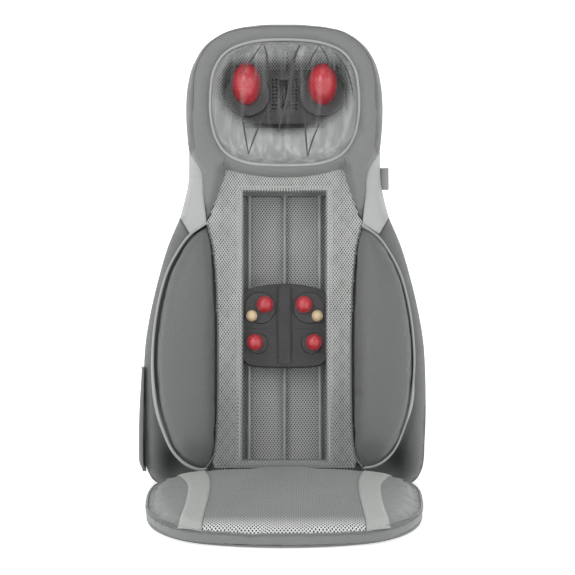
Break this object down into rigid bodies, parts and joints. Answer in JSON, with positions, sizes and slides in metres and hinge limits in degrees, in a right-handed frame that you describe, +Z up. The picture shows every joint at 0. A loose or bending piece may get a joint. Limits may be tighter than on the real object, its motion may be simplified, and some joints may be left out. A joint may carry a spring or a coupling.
{
  "type": "massage seat topper",
  "caption": "Reclined massage back with sliding neck and back kneading carriages, padded bolsters, a neck window and a seat pad that folds up.",
  "frame": {"origin": "middle of the seat pad's underside, below the crease between seat and back", "axes": "+X to the right seen from the front, -Y towards the front, +Z up"},
  "size_m": [0.4542, 0.622, 0.7445],
  "materials": {
    "shell_plastic": "matte",
    "frame_plastic": "matte",
    "carriage_plastic": "satin",
    "disc_plastic": "satin",
    "red_node": "gloss",
    "beige_node": "gloss",
    "black_plastic": "satin",
    "bush_plastic": "satin",
    "board": "satin",
    "black_rubber": "matte",
    "steel": "satin",
    "motor_metal": "satin",
    "brass": "satin",
    "hood_cover": "matte",
    "bolster_cover": "matte",
    "light_cover": "matte",
    "dark_cover": "matte",
    "window_cloth": "satin",
    "pad_foam": "matte",
    "mesh": "matte",
    "webbing": "matte",
    "seat_cover": "matte",
    "seat_underside": "matte"
  },
  "bodies": {
    "back": {"rear_shell": "shell_plastic", "rear_screws": "steel", "cable_grommet": "black_rubber", "chassis": "frame_plastic", "neck_housing": "frame_plastic", "neck_hood": "hood_cover", "neck_window_cloth": "window_cloth", "centre_pad": "pad_foam", "mesh_cover": "mesh", "shoulder_panels": "light_cover", "side_flaps": "dark_cover", "bolster_right": "bolster_cover", "bolster_left": "bolster_cover", "side_pocket": "dark_cover", "side_tab": "light_cover", "chair_straps": "webbing", "strap_buckles": "black_plastic", "crease_hinge": "dark_cover", "guide_rails": "steel", "rail_brackets": "black_plastic", "screw_bearings": "brass", "back_travel_motor": "motor_metal", "neck_travel_motor": "motor_metal", "control_board": "board", "limit_switches": "black_plastic"},
    "back_screw": {"back_lead_screw": "steel"},
    "back_carriage": {"back_carriage_base": "carriage_plastic", "back_carriage_cover": "carriage_plastic", "back_carriage_bushes": "bush_plastic", "back_screw_nut": "brass", "back_kneading_motor": "motor_metal"},
    "back_worm": {"back_worm_shaft": "steel"},
    "upper_right": {"upper_disc_right": "disc_plastic", "upper_node_right": "red_node", "upper_small_node_right": "beige_node"},
    "upper_left": {"upper_disc_left": "disc_plastic", "upper_node_left": "red_node", "upper_small_node_left": "beige_node"},
    "lower_right": {"lower_disc_right": "disc_plastic", "lower_node_right": "red_node"},
    "lower_left": {"lower_disc_left": "disc_plastic", "lower_node_left": "red_node"},
    "neck_screw": {"neck_lead_screw": "steel"},
    "neck_carriage": {"neck_carriage_base": "carriage_plastic", "neck_carriage_cover": "carriage_plastic", "neck_carriage_bushes": "bush_plastic", "neck_screw_nut": "brass", "neck_kneading_motor": "motor_metal"},
    "neck_worm": {"neck_worm_shaft": "steel"},
    "neck_right": {"neck_disc_right": "disc_plastic", "neck_node_right": "red_node"},
    "neck_left": {"neck_disc_left": "disc_plastic", "neck_node_left": "red_node"},
    "seat": {"seat_cushion": "seat_cover", "seat_base_panel": "seat_underside", "seat_vibration_housings": "black_plastic", "seat_vibration_motors": "motor_metal"},
    "weight_right": {"seat_weight_right": "steel"},
    "weight_left": {"seat_weight_left": "steel"}
  },
  "joints": [
    {"name": "back_travel", "type": "slide", "parent": "back", "child": "back_carriage", "axis": [0, 0.2079, 0.9781], "range_m": [-0.15, 0.15]},
    {"name": "back_screw_turn", "type": "hinge", "parent": "back", "child": "back_screw", "pos_m": [0, 0.10218, 0.24938], "axis": [0, 0.2079, 0.9781], "range_deg": [-4505, 4505]},
    {"name": "upper_right_spin", "type": "hinge", "parent": "back_carriage", "child": "upper_right", "pos_m": [0.0396, 0.08257, 0.28217], "axis": [0, -0.9781, 0.2079], "continuous": true},
    {"name": "upper_left_spin", "type": "hinge", "parent": "back_carriage", "child": "upper_left", "pos_m": [-0.0396, 0.08257, 0.28217], "axis": [0, -0.9781, 0.2079], "continuous": true},
    {"name": "lower_right_spin", "type": "hinge", "parent": "back_carriage", "child": "lower_right", "pos_m": [0.0435, 0.07053, 0.22553], "axis": [0, -0.9781, 0.2079], "continuous": true},
    {"name": "lower_left_spin", "type": "hinge", "parent": "back_carriage", "child": "lower_left", "pos_m": [-0.0435, 0.07053, 0.22553], "axis": [0, -0.9781, 0.2079], "continuous": true},
    {"name": "back_worm_spin", "type": "hinge", "parent": "back_carriage", "child": "back_worm", "pos_m": [0, 0.08179, 0.24962], "axis": [1, 0, 0], "continuous": true},
    {"name": "neck_travel", "type": "slide", "parent": "back", "child": "neck_carriage", "axis": [0, 0.2079, 0.9781], "range_m": [-0.052, 0.012]},
    {"name": "neck_screw_turn", "type": "hinge", "parent": "back", "child": "neck_screw", "pos_m": [0, 0.16849, 0.60946], "axis": [0, 0.2079, 0.9781], "range_deg": [-1565, 365]},
    {"name": "neck_right_spin", "type": "hinge", "parent": "neck_carriage", "child": "neck_right", "pos_m": [0.061, 0.13536, 0.62672], "axis": [0, -0.9781, 0.2079], "continuous": true},
    {"name": "neck_left_spin", "type": "hinge", "parent": "neck_carriage", "child": "neck_left", "pos_m": [-0.061, 0.13536, 0.62672], "axis": [0, -0.9781, 0.2079], "continuous": true},
    {"name": "neck_worm_spin", "type": "hinge", "parent": "neck_carriage", "child": "neck_worm", "pos_m": [0, 0.1357, 0.58984], "axis": [1, 0, 0], "continuous": true},
    {"name": "seat_fold", "type": "hinge", "parent": "back", "child": "seat", "pos_m": [0, -0.0026, 0.039], "axis": [-1, 0, 0], "range_deg": [0, 70]},
    {"name": "weight_right_spin", "type": "hinge", "parent": "seat", "child": "weight_right", "pos_m": [0.072, -0.17, 0.016], "axis": [0, 1, 0], "continuous": true},
    {"name": "weight_left_spin", "type": "hinge", "parent": "seat", "child": "weight_left", "pos_m": [-0.072, -0.17, 0.016], "axis": [0, 1, 0], "continuous": true}
  ],
  "couplings": [
    {"joint": "back_screw_turn", "follows": "back_travel", "rad_per_m": 523.6},
    {"joint": "upper_left_spin", "follows": "upper_right_spin", "ratio": -1},
    {"joint": "lower_right_spin", "follows": "upper_right_spin", "ratio": -1.3},
    {"joint": "lower_left_spin", "follows": "upper_right_spin", "ratio": 1.3},
    {"joint": "back_worm_spin", "follows": "upper_right_spin", "ratio": 26},
    {"joint": "neck_screw_turn", "follows": "neck_travel", "rad_per_m": 523.6},
    {"joint": "neck_left_spin", "follows": "neck_right_spin", "ratio": -1},
    {"joint": "neck_worm_spin", "follows": "neck_right_spin", "ratio": 30}
  ]
}
